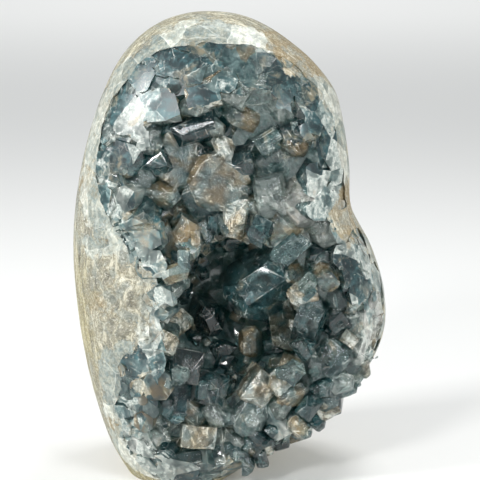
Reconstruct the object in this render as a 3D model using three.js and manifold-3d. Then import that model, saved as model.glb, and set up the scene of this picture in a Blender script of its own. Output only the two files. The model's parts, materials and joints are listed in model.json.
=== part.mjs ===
// Half of a celestite geode, standing on its cut base.
//
// The stone is a rounded block of pale rock, ground smooth round its sides and
// left rough at the back. Its front is open: a deep hollow whose wall carries one
// crust of celestite crystals grown together. Crystals that reached the ground
// surface are cut flush with it; at the lower right they stick out past the stone.
//
// Millimetres. +X is to the viewer's right, +Y away from the viewer, +Z up. The
// origin is on the surface that the base stands on, under the middle of the stone.

import * as THREE from "three";
import { mergeVertices } from "three/addons/utils/BufferGeometryUtils.js";
import { ConvexGeometry } from "three/addons/geometries/ConvexGeometry.js";
import Module from "manifold-3d";

const wasm = await Module();
wasm.setup();

// Driving dimensions
const GAP = 0.3; // between the rock and the back of the crust
const BASE_CLEARANCE = 1; // the crust's lowest point above the cut base
const SWELLS = { height: 0.45, width: 16 }; // all over the stone
const LUMPS = { height: 1.1, width: 4.6 }; // on its rough back
const KNOBS = { height: 1.9, width: 4.2 }; // on the hollow's wall
const BACK = { from: 12, to: 30 }; // how deep the ground sides end and the rough back is full
const FOOT = { from: 2, to: 14 }; // how high above the cut base the lumps are full

// The slopes of a crystal's faces: the prism's to its broad faces, and the roof's
const PRISM_SLOPE = THREE.MathUtils.degToRad(38);
const RIDGE_SLOPE = THREE.MathUtils.degToRad(52);
const GABLE_SLOPE = THREE.MathUtils.degToRad(39);
const NO_CUT = 2; // a share so large that the faces it places miss the crystal
const TINY = 1e-4; // lengths that count as nothing

// A body is given by level sections from bottom to top. Each row is a height and
// the left, right, front and back of the section there. "middle" is the depth at
// which the sections are widest, "power" how square they are, and "crest" how far
// from left to right they are deepest, as a share of their width. Its surface is made
// of "levels" bands with "turns" faces each.
const STONE = {
  levels: 22,
  turns: 36,
  middle: 2,
  power: 2.35,
  crest: 0.5,
  closedBelow: false,
  rows: [
    [0, -40.5, 4, -27, 33],
    [5, -43.5, 11.5, -30.5, 36],
    [12, -47.2, 23.5, -34.5, 37.8],
    [23, -51.2, 38, -37, 39],
    [38, -55.2, 52.5, -38.6, 39.5],
    [54, -57.8, 60, -39.2, 39.6],
    [70, -59.2, 60.2, -39.6, 39.6],
    [87, -59.9, 55.4, -39.8, 39.3],
    [103, -59, 47.4, -39.4, 38.5],
    [119, -56.2, 46.2, -38, 36.8],
    [134, -52, 44.2, -35.2, 34],
    [147, -47.2, 41, -31.4, 30],
    [158, -41.8, 32.8, -26.6, 25],
    [166.5, -35, 22.6, -20.8, 19.6],
    [172.6, -26.6, 12.6, -14.6, 14],
    [176, -17, 3, -7.4, 8],
    [177, -7.5, -7.5, 2, 2],
  ],
};
const HOLLOW = {
  levels: 12,
  turns: 20,
  middle: -30,
  power: 2.5,
  crest: 0.46,
  closedBelow: true,
  rows: [
    [1, -9, -9, -30, -30],
    [4, -27, 6, -52, -15],
    [13, -35, 24, -66, -2],
    [27, -36, 42, -74, 8],
    [46, -31, 57, -76, 14],
    [66, -29, 63, -76, 17],
    [86, -33, 57, -76, 17],
    [106, -43, 46, -76, 13],
    [126, -50, 44, -75, 6],
    [144, -46, 40, -72, -3],
    [157, -39, 32, -66, -11],
    [166, -28, 20, -54, -18],
    [170, -6, -6, -30, -30],
  ],
};
// The air of the hollow's wide mouth, and the deep pocket in its middle
const VOID = {
  levels: 9,
  turns: 14,
  middle: -27,
  power: 2.1,
  crest: 0.38,
  closedBelow: true,
  rows: [
    [8, -9, -9, -27, -27],
    [11, -24, 6, -46, -24],
    [20, -29, 23, -62, -22],
    [34, -27, 41, -74, -20],
    [50, -23, 53, -76, -18],
    [68, -23, 57, -76, -17],
    [87, -27, 50, -76, -18],
    [105, -34, 40, -76, -20],
    [121, -38, 39, -74, -21],
    [135, -35, 37, -68, -22],
    [146, -25, 31, -54, -24],
    [152, 3, 3, -27, -27],
  ],
};
const POCKET = {
  levels: 6,
  turns: 12,
  middle: -27,
  power: 2.1,
  crest: 0.5,
  closedBelow: true,
  rows: [
    [36, 4, 4, -27, -27],
    [40, -11, 17, -40, -12],
    [50, -20, 26, -56, -2],
    [63, -25, 29, -64, 5],
    [77, -24, 29, -64, 6],
    [89, -18, 26, -56, 3],
    [98, -9, 18, -40, -9],
    [102, 5, 5, -27, -27],
  ],
};

// The crystals that stand out from the rest, each with its own place. A row is the
// middle of its tip (x, y, z), the way it grew (x, y, z), half its width, half its
// thickness, its length, its turn about its own length in degrees, and the shares of
// ridge and gable that blunt its roof.
const LARGE_CRYSTALS = [
  [-16, -27, 124, 0.1, -1, 0.1, 11, 10, 30, 20, 0.75, 0.8],
  [-3, -29, 117, 0.15, -1, -0.05, 11.5, 11, 32, 70, 0.85, 0.7],
  [-10, -26, 108, -0.1, -1, -0.35, 9, 8, 26, 110, 0.6, 0.8],
  [27, -29, 110, -0.05, -1, 0.12, 10.5, 9, 26, 40, 0.55, 0.6],
  [36, -25, 98, -0.3, -1, -0.1, 8.5, 7.5, 24, 10, 0.7, 0.5],
  [12, -17, 77, -0.2, -1, 0.18, 16, 13, 26, 25, 0.35, 0.55],
  [25, -16, 88, -0.35, -1, 0.1, 9, 7, 24, 75, 0.5, 0.5],
  [-18, -26, 35, 0.3, -1, 0.3, 10, 8.5, 24, 90, 0.5, 0.6],
  [40, -23, 72, -0.35, -1, 0.1, 5.5, 8.5, 22, 15, 0.5, 0.5],
  [38, -26, 50, -0.3, -1, 0.25, 8, 6.5, 20, 35, 0.8, 0.7],
  [22, -21, 53, 0.1, -1, -0.5, 6, 4.5, 22, 160, 0.3, 0.5],
  [8, -30, 28, 0.05, -1, 0.3, 7.5, 6.5, 20, 60, 0.6, 0.7],
  [-16, -33, 13, 0.1, -0.8, 0.7, 7, 5.5, 18, 15, 0.4, 0.8],
  [-27, -30, 18, 0.25, -1, 0.4, 6.5, 6, 18, 50, 0.6, 0.7],
  [-30, -29, 118, 0.4, -1, 0.1, 6.2, 6, 20, 95, 0.4, 0.4],
  [27, -26, 144, -0.25, -1, -0.2, 7.5, 6.5, 20, 55, 0.5, 0.6],
  [12, -26, 149, 0, -1, -0.3, 9, 6.5, 20, 5, 0.6, 0.6],
  [6, -25, 139, 0.1, -1, -0.3, 8.5, 4.5, 20, 160, 0.8, 0.5],
  [36, -24, 127, -0.35, -1, 0, 7, 6, 20, 120, 0.4, 0.7],
  [17, -19, 124, -0.1, -1, 0.05, 8, 6.5, 22, 30, 0.5, 0.6],
  [8, -12, 52, -0.1, -1, 0.1, 6, 4.5, 20, 85, 0.5, 0.6],
  [50, -18, 60, -0.5, -1, 0.1, 6.5, 5, 18, 60, 0.5, 0.6],
  [-6, -14, 60, 0.3, -1, -0.1, 7, 6, 20, 130, 0.3, 0.4],
  [-25, -29, 52, 0.45, -1, 0.1, 5.5, 5, 16, 20, 0.5, 0.6],
];

// The smaller crystals on the walls of the mouth and of the pocket: half their width,
// how many at most, and the least distance from one to the next
const WALL_SIZES = [
  { body: VOID, size: 6.8, most: 26, apart: 12 },
  { body: VOID, size: 5.4, most: 40, apart: 8.4 },
  { body: POCKET, size: 5, most: 14, apart: 11 },
];
const PLACES_TRIED = 1500; // for each size
const EMBEDDED = 4; // the length of a crystal that is buried in the crust
const LEAST_INSIDE = 0.8; // the share of a crystal that lies within the stone's form
const WALL = {
  level: { above: 0.4, below: 0.6 }, // rows from the lowest and the highest point
  angle: [-0.06 * Math.PI, 1.06 * Math.PI],
  lean: [-0.42, 0.42], // sideways and up, off the wall's normal
  forward: [-0.5, 0.1],
  proud: [0.85, 1.75], // of its tip, as a share of its size
  width: [0.9, 1.2],
  thickness: [0.62, 0.95],
  turn: [0, Math.PI],
};

// The broken rim at the lower right, where crystals reach past the stone: a curve
// through their tips, along which they lean outwards and to the front
const RIM_CURVE = [
  [55.5, -14, 60],
  [55, -17, 49],
  [51, -20, 40],
  [43, -22, 31],
  [35, -25, 22],
  [20, -27, 18],
  [7, -29, 11],
  [-6, -30, 6],
];
const RIM_CRYSTALS = 15;
const RIM = {
  from: [0, -10, 70], // the point that they all lean away from
  size: [3.2, 5.4],
  length: 15,
  lean: [-0.3, 0.3],
  forward: [-1.3, -0.3],
  thickness: [0.65, 0.95],
  turn: [0, Math.PI],
};
const PAST_RIM = { left: 5, right: 75, front: -48, back: -8, height: 46 };

// Three ways in which the smaller crystals grew: a block under a ridge, a block under a
// gable, and a six-sided one under a ridge. "upTo" is the share of the crystals that
// grew in this way or one before it. The ranges are the shares of a crystal's size at
// which its faces cut it.
const HABITS = [
  { upTo: 0.4, ridge: [0.15, 0.6], gable: [NO_CUT, NO_CUT], bevel: [NO_CUT, NO_CUT] },
  { upTo: 0.65, ridge: [NO_CUT, NO_CUT], gable: [0.3, 0.8], bevel: [NO_CUT, NO_CUT] },
  { upTo: 1, ridge: [0.15, 0.6], gable: [NO_CUT, NO_CUT], bevel: [0.66, 0.78] },
];
const LARGE_BEVEL = [0.82, 0.98];

// Repeatable scatter for item i: a function whose calls draw numbers from given ranges
function drawsFor(i) {
  let k = 0;
  return ([low, high]) => {
    k += 1;
    const s = Math.sin(i * 12.9898 + k * 78.233) * 43758.5453;
    return low + (high - low) * (s - Math.floor(s));
  };
}

// Smooth bumps of about the given width, between -1 and 1
function bumps(p, width) {
  const [x, y, z] = [p.x / width, p.y / width, p.z / width];
  return Math.sin(x + 1.3 * Math.sin(0.45 * z)) * Math.sin(z - y + 1.1 * Math.sin(0.5 * x));
}

// A number on a smooth curve that runs from b to c, with a before and d after them
function smooth(a, b, c, d, f) {
  const slope = c - a;
  const bend = 2 * a - 5 * b + 4 * c - d;
  const twist = 3 * (b - c) + d - a;
  return b + 0.5 * f * (slope + f * (bend + f * twist));
}

// The section at parameter t, counted in rows, on a smooth curve through the rows
function section(body, t) {
  const { rows, closedBelow } = body;
  const last = rows.length - 1;
  const turned = ([z, left, right, front, back]) => [z, right, left, back, front];
  const row = (i) => {
    if (i > last) return turned(rows[2 * last - i]);
    if (i >= 0) return rows[i];
    if (closedBelow) return turned(rows[-i]);
    return rows[0].map((v, k) => 2 * v - rows[1][k]);
  };
  const i = Math.min(Math.max(Math.floor(t), 0), last - 1);
  const [a, b, c, d] = [row(i - 1), row(i), row(i + 1), row(i + 2)];
  return b.map((v, k) => smooth(a[k], v, c[k], d[k], t - i));
}

// The middle line of the body at parameter t
function middlePoint(body, t) {
  const [z, left, right] = section(body, t);
  return new THREE.Vector3(left + (right - left) * body.crest, body.middle, z);
}

// A point on the body: t is its level in rows, angle runs round it from +X to +Y
function surfacePoint(body, t, angle) {
  const [, left, right, front, back] = section(body, t);
  const squared = (v) => Math.sign(v) * Math.abs(v) ** (2 / body.power);
  const across = squared(Math.cos(angle));
  const along = squared(Math.sin(angle));
  const p = middlePoint(body, t);
  p.x += across * (across > 0 ? right - p.x : p.x - left);
  p.y += along * (along > 0 ? back - body.middle : body.middle - front);
  return p;
}

// The normal that points into the body
function inwardNormal(body, t, angle) {
  const step = 0.02;
  const along = surfacePoint(body, t, angle + step).sub(surfacePoint(body, t, angle - step));
  const up = surfacePoint(body, t + step, angle).sub(surfacePoint(body, t - step, angle));
  return up.cross(along).normalize();
}

// How far out of a body a point is: 0 on its middle line, 1 on its surface
function outwardness(body, p) {
  let [low, high] = [0, body.rows.length - 1];
  while (high - low > TINY) {
    const t = (low + high) / 2;
    if (section(body, t)[0] < p.z) low = t;
    else high = t;
  }
  const [, left, right, front, back] = section(body, low);
  const middle = middlePoint(body, low);
  const across = (p.x - middle.x) / (p.x > middle.x ? right - middle.x : middle.x - left);
  const along = (p.y - middle.y) / (p.y > middle.y ? back - middle.y : middle.y - front);
  return (Math.abs(across) ** body.power + Math.abs(along) ** body.power) ** (1 / body.power);
}

// How far the stone's surface stands out at p: low swells, and lumps on the back
function swell(p) {
  const { smoothstep } = THREE.MathUtils;
  const rough = smoothstep(p.y, BACK.from, BACK.to) * smoothstep(p.z, FOOT.from, FOOT.to);
  return SWELLS.height * bumps(p, SWELLS.width) + rough * LUMPS.height * (bumps(p, LUMPS.width) - 1);
}

// Knobs on the hollow's wall, which make the line between rock and crystal ragged
function knobs(p) {
  return KNOBS.height * bumps(p, KNOBS.width);
}

// The closed surface of a body, in rings between a lowest and a highest point. Each
// point is moved outwards from the middle line by grow(point).
function bodyGeometry(body, grow) {
  const { levels, turns, closedBelow } = body;
  const last = body.rows.length - 1;
  const positions = [];
  const index = [];
  const add = (p) => {
    positions.push(p.x, p.y, p.z);
    return positions.length / 3 - 1;
  };
  const ringAt = (t) => {
    const centre = middlePoint(body, t);
    return Array.from({ length: turns }, (_, j) => {
      const p = surfacePoint(body, t, (2 * Math.PI * j) / turns);
      const out = p.clone().sub(centre).normalize();
      return add(p.addScaledVector(out, grow(p)));
    });
  };
  const rings = [];
  for (let i = closedBelow ? 1 : 0; i < levels; i++) rings.push(ringAt((last * i) / levels));
  const bottom = add(middlePoint(body, 0));
  const top = add(middlePoint(body, last));
  for (let j = 0; j < turns; j++) {
    const k = (j + 1) % turns;
    for (let r = 0; r + 1 < rings.length; r++) {
      const [a, b] = [rings[r], rings[r + 1]];
      index.push(a[j], a[k], b[k], a[j], b[k], b[j]);
    }
    index.push(bottom, rings[0][k], rings[0][j]);
    index.push(top, rings.at(-1)[j], rings.at(-1)[k]);
  }
  const geometry = new THREE.BufferGeometry();
  geometry.setAttribute("position", new THREE.Float32BufferAttribute(positions, 3));
  geometry.setIndex(index);
  return geometry;
}

// The solid inside a closed surface
function solid(geometry) {
  geometry.deleteAttribute("normal");
  geometry.deleteAttribute("uv");
  const merged = mergeVertices(geometry, TINY);
  return new wasm.Manifold(
    new wasm.Mesh({
      numProp: 3,
      vertProperties: Float32Array.from(merged.attributes.position.array),
      triVerts: Uint32Array.from(merged.index.array),
    }),
  );
}

// The largest body of what was made, without loose chips and with closed pockets filled
function largestBody(made) {
  return made.decompose().reduce((best, body) => (body.volume() > best.volume() ? body : best));
}

function geometryOf(made) {
  const mesh = made.getMesh();
  const geometry = new THREE.BufferGeometry();
  geometry.setAttribute("position", new THREE.BufferAttribute(mesh.vertProperties, 3));
  geometry.setIndex(new THREE.BufferAttribute(mesh.triVerts, 1));
  return geometry;
}

// The point where three planes meet, or nothing where two of them are parallel
function meetingPoint(a, b, c) {
  const matrix = new THREE.Matrix3(...a.n.toArray(), ...b.n.toArray(), ...c.n.toArray());
  if (Math.abs(matrix.determinant()) < TINY) return undefined;
  return new THREE.Vector3(a.d, b.d, c.d).applyMatrix3(matrix.invert());
}

// The corners of the space inside a set of planes, each a normal n and a distance d
function cornersInside(planes) {
  const corners = [];
  for (let i = 0; i < planes.length; i++) {
    for (let j = i + 1; j < planes.length; j++) {
      for (let k = j + 1; k < planes.length; k++) {
        const p = meetingPoint(planes[i], planes[j], planes[k]);
        const inside = p && planes.every((plane) => plane.n.dot(p) < plane.d + TINY);
        if (inside && corners.every((q) => q.distanceTo(p) > TINY)) corners.push(p);
      }
    }
  }
  return corners;
}

// One celestite crystal with the middle of its tip at the origin, grown along +Z: a
// block whose upright edges are cut by prism faces, under a blunt roof
function crystalGeometry({ width, thickness, length, ridge, gable, bevel }) {
  const plane = (x, y, z, d) => ({ n: new THREE.Vector3(x, y, z), d });
  const planes = [plane(0, 0, 1, 0), plane(0, 0, -1, length)];
  for (const side of [-1, 1]) {
    const [rise, run] = [Math.cos(RIDGE_SLOPE), Math.sin(RIDGE_SLOPE)];
    const [lift, reach] = [Math.cos(GABLE_SLOPE), Math.sin(GABLE_SLOPE)];
    planes.push(plane(side, 0, 0, width));
    planes.push(plane(0, side, 0, thickness));
    planes.push(plane(0, side * run, rise, ridge * thickness * run));
    planes.push(plane(side * reach, 0, lift, gable * width * reach));
    for (const other of [-1, 1]) {
      planes.push(plane(side * Math.cos(PRISM_SLOPE), other * Math.sin(PRISM_SLOPE), 0, bevel * width));
    }
  }
  return new ConvexGeometry(cornersInside(planes));
}

// A crystal of the given form, with its tip and direction, turned about its length
function placed(form, tip, direction, turn) {
  const geometry = crystalGeometry(form);
  geometry.rotateZ(turn);
  const rotation = new THREE.Quaternion().setFromUnitVectors(new THREE.Vector3(0, 0, 1), direction);
  geometry.applyQuaternion(rotation);
  geometry.translate(tip.x, tip.y, tip.z);
  return solid(geometry);
}

// The shares that shape a smaller crystal, in one of the three habits
function habit(draw) {
  const share = draw([0, 1]);
  const { ridge, gable, bevel } = HABITS.find(({ upTo }) => share < upTo);
  return { ridge: draw(ridge), gable: draw(gable), bevel: draw(bevel) };
}

// The crystals that have their own places
function largeCrystals() {
  return LARGE_CRYSTALS.map(([x, y, z, dx, dy, dz, width, thickness, length, turn, ridge, gable], i) => {
    const form = { width, thickness, length, ridge, gable, bevel: drawsFor(i)(LARGE_BEVEL) };
    const direction = new THREE.Vector3(dx, dy, dz).normalize();
    return placed(form, new THREE.Vector3(x, y, z), direction, THREE.MathUtils.degToRad(turn));
  });
}

// A crystal that grew at the given place on the hollow's wall
function wallCrystal(draw, root, normal, size) {
  const lean = new THREE.Vector3(draw(WALL.lean), draw(WALL.forward), draw(WALL.lean));
  const direction = lean.add(normal).normalize();
  const proud = size * draw(WALL.proud);
  const form = {
    width: size * draw(WALL.width),
    thickness: size * draw(WALL.thickness),
    length: proud + EMBEDDED,
    ...habit(draw),
  };
  return placed(form, root.clone().addScaledVector(direction, proud), direction, draw(WALL.turn));
}

// Smaller crystals all over the hollow's wall, between those with their own places.
// One that would stick out of the stone's form is left out.
function wallCrystals(stoneForm) {
  const taken = [...LARGE_CRYSTALS, ...RIM_CURVE].map(([x, y, z]) => new THREE.Vector3(x, y, z));
  const made = [];
  let tried = 0;
  for (const { body, size, most, apart } of WALL_SIZES) {
    const levels = [WALL.level.above, body.rows.length - 1 - WALL.level.below];
    const full = made.length + most;
    for (let n = 0; n < PLACES_TRIED && made.length < full; n++) {
      tried += 1;
      const draw = drawsFor(tried);
      const [t, angle] = [draw(levels), draw(WALL.angle)];
      const root = surfacePoint(body, t, angle);
      if (taken.some((q) => q.distanceTo(root) < apart)) continue;
      if (body === VOID && outwardness(POCKET, root) < 1) continue;
      const crystal = wallCrystal(draw, root, inwardNormal(body, t, angle), size);
      if (crystal.intersect(stoneForm).volume() < LEAST_INSIDE * crystal.volume()) continue;
      made.push(crystal);
      taken.push(root);
    }
  }
  return made;
}

// The crystals along the broken rim
function rimCrystals() {
  const curve = new THREE.CatmullRomCurve3(RIM_CURVE.map((p) => new THREE.Vector3(...p)));
  const middle = new THREE.Vector3(...RIM.from);
  return Array.from({ length: RIM_CRYSTALS }, (_, i) => {
    const draw = drawsFor(i);
    const tip = curve.getPoint((i + 0.5) / RIM_CRYSTALS);
    const lean = new THREE.Vector3(draw(RIM.lean), draw(RIM.forward), draw(RIM.lean));
    const direction = tip.clone().sub(middle).normalize().add(lean).normalize();
    const size = draw(RIM.size);
    const form = { width: size, thickness: size * draw(RIM.thickness), length: RIM.length, ...habit(draw) };
    return placed(form, tip, direction, draw(RIM.turn));
  });
}

const stoneForm = solid(bodyGeometry(STONE, swell));
const stoneOutside = solid(bodyGeometry(STONE, (p) => swell(p) + GAP));
const hollow = solid(bodyGeometry(HOLLOW, knobs));
const hollowInside = solid(bodyGeometry(HOLLOW, (p) => knobs(p) - GAP));
const air = solid(bodyGeometry(VOID, () => 0)).add(solid(bodyGeometry(POCKET, () => 0)));

// Crystals may leave the stone's form only past the rim, at its lower right
const pastRim = new THREE.BoxGeometry(
  PAST_RIM.right - PAST_RIM.left,
  PAST_RIM.back - PAST_RIM.front,
  PAST_RIM.height,
);
pastRim.translate(
  (PAST_RIM.right + PAST_RIM.left) / 2,
  (PAST_RIM.back + PAST_RIM.front) / 2,
  BASE_CLEARANCE + PAST_RIM.height / 2,
);
const room = stoneForm.add(solid(pastRim));

// The crust is everything that grew in the hollow, kept off the rock by the gap
const wall = hollowInside.subtract(air).intersect(stoneForm);
const crystals = [...largeCrystals(), ...wallCrystals(stoneForm), ...rimCrystals()];
const rock = stoneOutside.subtract(hollowInside);
const crust = largestBody(wasm.Manifold.union([wall, ...crystals]).intersect(room).subtract(rock));
const stone = largestBody(stoneForm.subtract(hollow));

function mesh(name, made, color, roughness) {
  const material = new THREE.MeshStandardMaterial({ color, roughness, metalness: 0 });
  const node = new THREE.Mesh(geometryOf(made), material);
  node.name = name;
  return node;
}

const geode = new THREE.Group();
geode.add(mesh("stone", stone, "#cfc9b6", 0.45));
geode.add(mesh("crystal_crust", crust, "#7d9094", 0.12));

export default geode;
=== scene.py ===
"""Looks of a half celestite geode: its pale stone and the crust of crystals in its hollow.

Both pieces are made from the forms of the CAD solids, with finer surfaces: the stone
gets its ground sides, pits, grains and rough back, and the crust gets crystals with
stepped faces and worn edges, small crystals between the large ones, and the fractures
inside them. Forms are in millimetres until a mesh is made.
"""

import functools
import itertools
import json
import math
import random
from types import SimpleNamespace as Values

import bmesh
import bpy
import numpy as np
from mathutils import Matrix, Vector, noise

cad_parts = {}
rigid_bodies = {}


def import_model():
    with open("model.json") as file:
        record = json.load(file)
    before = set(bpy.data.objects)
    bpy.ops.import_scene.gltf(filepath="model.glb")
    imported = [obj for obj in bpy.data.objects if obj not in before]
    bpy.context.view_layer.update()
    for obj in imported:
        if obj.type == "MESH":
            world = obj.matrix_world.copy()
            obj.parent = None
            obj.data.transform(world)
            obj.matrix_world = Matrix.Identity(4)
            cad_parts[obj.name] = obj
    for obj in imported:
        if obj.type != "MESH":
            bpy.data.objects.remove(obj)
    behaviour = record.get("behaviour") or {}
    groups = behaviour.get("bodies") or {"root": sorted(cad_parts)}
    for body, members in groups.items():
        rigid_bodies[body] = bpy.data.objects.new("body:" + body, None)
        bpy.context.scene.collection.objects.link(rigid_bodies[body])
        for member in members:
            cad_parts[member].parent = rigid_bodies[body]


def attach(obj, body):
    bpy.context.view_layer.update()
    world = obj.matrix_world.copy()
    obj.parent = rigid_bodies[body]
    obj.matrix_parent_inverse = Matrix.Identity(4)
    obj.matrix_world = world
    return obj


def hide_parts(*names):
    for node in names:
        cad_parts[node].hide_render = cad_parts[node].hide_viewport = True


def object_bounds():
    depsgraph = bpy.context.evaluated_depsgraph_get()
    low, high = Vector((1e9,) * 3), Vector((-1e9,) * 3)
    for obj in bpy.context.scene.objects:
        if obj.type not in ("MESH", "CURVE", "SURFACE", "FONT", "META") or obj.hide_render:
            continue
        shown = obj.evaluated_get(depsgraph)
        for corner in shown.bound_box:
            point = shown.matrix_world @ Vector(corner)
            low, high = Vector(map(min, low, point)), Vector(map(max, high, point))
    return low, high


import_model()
CAD_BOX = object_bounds()

MM = 0.001
SEED = 7
INSET = 0.3  # how far the fine surfaces lie inside the CAD solids' own, in mm
CONTACT = 0.08  # how far the crust reaches into the rock that it grew on
BASE_CLEARANCE = 1

# Low swells all over the stone, lumps on its rough back, knobs on the hollow's wall
SWELLS = Values(height=0.45, width=16)
LUMPS = Values(height=1.1, width=4.6)
KNOBS = Values(height=1.9, width=4.2)
NOTCHES = Values(height=1.1, width=1.7)
BACK = (12, 30)  # y over which the stone turns rough
FOOT = (2, 14)  # height over which it does so above its base

# The slopes of a crystal's faces, in degrees
PRISM_SLOPE = 38
RIDGE_SLOPE = 52
GABLE_SLOPE = 39
NO_CUT = 2
TINY = 1e-4
SAME_CORNER = 0.01  # mm between corners that count as one
PARALLEL = 1e-3

# Level sections from bottom to top: height, left, right, front, back
STONE = Values(middle=2, power=2.35, crest=0.5, closed_below=False, rows=[
    [0, -40.5, 4, -27, 33],
    [5, -43.5, 11.5, -30.5, 36],
    [12, -47.2, 23.5, -34.5, 37.8],
    [23, -51.2, 38, -37, 39],
    [38, -55.2, 52.5, -38.6, 39.5],
    [54, -57.8, 60, -39.2, 39.6],
    [70, -59.2, 60.2, -39.6, 39.6],
    [87, -59.9, 55.4, -39.8, 39.3],
    [103, -59, 47.4, -39.4, 38.5],
    [119, -56.2, 46.2, -38, 36.8],
    [134, -52, 44.2, -35.2, 34],
    [147, -47.2, 41, -31.4, 30],
    [158, -41.8, 32.8, -26.6, 25],
    [166.5, -35, 22.6, -20.8, 19.6],
    [172.6, -26.6, 12.6, -14.6, 14],
    [176, -17, 3, -7.4, 8],
    [177, -7.5, -7.5, 2, 2],
])
HOLLOW = Values(middle=-30, power=2.5, crest=0.46, closed_below=True, rows=[
    [1, -9, -9, -30, -30],
    [4, -27, 6, -52, -15],
    [13, -35, 24, -66, -2],
    [27, -36, 42, -74, 8],
    [46, -31, 57, -76, 14],
    [66, -29, 63, -76, 17],
    [86, -33, 57, -76, 17],
    [106, -43, 46, -76, 13],
    [126, -50, 44, -75, 6],
    [144, -46, 40, -72, -3],
    [157, -39, 32, -66, -11],
    [166, -28, 20, -54, -18],
    [170, -6, -6, -30, -30],
])
# The air of the hollow's wide mouth, and the deep pocket in its middle
VOID = Values(middle=-27, power=2.1, crest=0.38, closed_below=True, rows=[
    [8, -9, -9, -27, -27],
    [11, -24, 6, -46, -24],
    [20, -29, 23, -62, -22],
    [34, -27, 41, -74, -20],
    [50, -23, 53, -76, -18],
    [68, -23, 57, -76, -17],
    [87, -27, 50, -76, -18],
    [105, -34, 40, -76, -20],
    [121, -38, 39, -74, -21],
    [135, -35, 37, -68, -22],
    [146, -25, 31, -54, -24],
    [152, 3, 3, -27, -27],
])
POCKET = Values(middle=-27, power=2.1, crest=0.5, closed_below=True, rows=[
    [36, 4, 4, -27, -27],
    [40, -11, 17, -40, -12],
    [50, -20, 26, -56, -2],
    [63, -25, 29, -64, 5],
    [77, -24, 29, -64, 6],
    [89, -18, 26, -56, 3],
    [98, -9, 18, -40, -9],
    [102, 5, 5, -27, -27],
])

# A shallow shelf low on the left, where the crystals reach out over the rock
SHELF = Values(middle=-30, power=2.1, crest=0.5, closed_below=True, rows=[
    [2, -26, -26, -30, -30],
    [6, -35, -14, -50, -23],
    [16, -40.5, -16, -58, -21],
    [30, -42.5, -18, -58, -20],
    [43, -41.5, -20, -58, -21],
    [54, -36, -22, -50, -24],
    [60, -29, -29, -30, -30],
])

# The crystals that stand out: tip x, y, z, direction x, y, z, half width, half
# thickness, length, turn about the length, and the shares of ridge and gable
LARGE_CRYSTALS = [
    [-16, -27, 124, 0.1, -1, 0.1, 11, 10, 30, 20, 0.75, 0.8],
    [-3, -29, 117, 0.15, -1, -0.05, 11.5, 11, 32, 70, 0.85, 0.7],
    [-10, -26, 108, -0.1, -1, -0.35, 9, 8, 26, 110, 0.6, 0.8],
    [27, -29, 110, -0.05, -1, 0.12, 10.5, 9, 26, 40, 0.55, 0.6],
    [36, -25, 98, -0.3, -1, -0.1, 8.5, 7.5, 24, 10, 0.7, 0.5],
    [12, -17, 77, -0.2, -1, 0.18, 16, 13, 26, 25, 0.35, 0.55],
    [25, -16, 88, -0.35, -1, 0.1, 9, 7, 24, 75, 0.5, 0.5],
    [-18, -26, 35, 0.3, -1, 0.3, 10, 8.5, 24, 90, 0.5, 0.6],
    [40, -23, 72, -0.35, -1, 0.1, 5.5, 8.5, 22, 15, 0.5, 0.5],
    [38, -26, 50, -0.3, -1, 0.25, 8, 6.5, 20, 35, 0.8, 0.7],
    [22, -21, 53, 0.1, -1, -0.5, 6, 4.5, 22, 160, 0.3, 0.5],
    [8, -30, 28, 0.05, -1, 0.3, 7.5, 6.5, 20, 60, 0.6, 0.7],
    [-16, -33, 13, 0.1, -0.8, 0.7, 7, 5.5, 18, 15, 0.4, 0.8],
    [-27, -30, 18, 0.25, -1, 0.4, 6.5, 6, 18, 50, 0.6, 0.7],
    [-30, -29, 118, 0.4, -1, 0.1, 6.2, 6, 20, 95, 0.4, 0.4],
    [27, -26, 144, -0.25, -1, -0.2, 7.5, 6.5, 20, 55, 0.5, 0.6],
    [12, -26, 149, 0, -1, -0.3, 9, 6.5, 20, 5, 0.6, 0.6],
    [6, -25, 139, 0.1, -1, -0.3, 8.5, 4.5, 20, 160, 0.8, 0.5],
    [36, -24, 127, -0.35, -1, 0, 7, 6, 20, 120, 0.4, 0.7],
    [17, -19, 124, -0.1, -1, 0.05, 8, 6.5, 22, 30, 0.5, 0.6],
    [8, -12, 52, -0.1, -1, 0.1, 6, 4.5, 20, 85, 0.5, 0.6],
    [50, -18, 60, -0.5, -1, 0.1, 6.5, 5, 18, 60, 0.5, 0.6],
    [-6, -14, 60, 0.3, -1, -0.1, 7, 6, 20, 130, 0.3, 0.4],
    [-25, -29, 52, 0.45, -1, 0.1, 5.5, 5, 16, 20, 0.5, 0.6],
]
LARGE_BEVEL = (0.82, 0.98)
LARGE_REACH = 0.85  # share of its half width that a large crystal keeps clear of others
LARGE_FACETS = Values(count=(1, 2), tilt=(8, 30), height=(0.03, 0.25))

# The smaller crystals on the wall: half width, how many at most, least distance apart
WALL_SIZES = [(6.8, 26, 12), (5.4, 40, 8.4)]
POCKET_SIZES = [(5, 14, 11)]
PLACES_TRIED = 1500
EMBEDDED = 4
HALF_TURN = (0, math.pi)
LEAST_INSIDE = 0.8
WALL = Values(
    level=(0.4, 0.6), angle=(-0.06 * math.pi, 1.06 * math.pi), lean=(-0.42, 0.42),
    forward=(-0.5, 0.1), proud=(0.85, 1.75), width=(0.9, 1.2), thickness=(0.62, 0.95),
    turn=HALF_TURN,
)

# The broken rim at the lower right
RIM_CURVE = [
    [55.5, -14, 60],
    [55, -17, 49],
    [51, -20, 40],
    [43, -22, 31],
    [35, -25, 22],
    [20, -27, 18],
    [7, -29, 11],
    [-6, -30, 6],
]
RIM_CRYSTALS = 15
RIM = Values(
    start=(0, -10, 70), size=(3.2, 5.4), length=15, lean=(-0.3, 0.3), forward=(-1.3, -0.3),
    thickness=(0.65, 0.95), turn=HALF_TURN,
)
PAST_RIM = Values(left=5, right=75, front=-48, back=-8, height=46)

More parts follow.
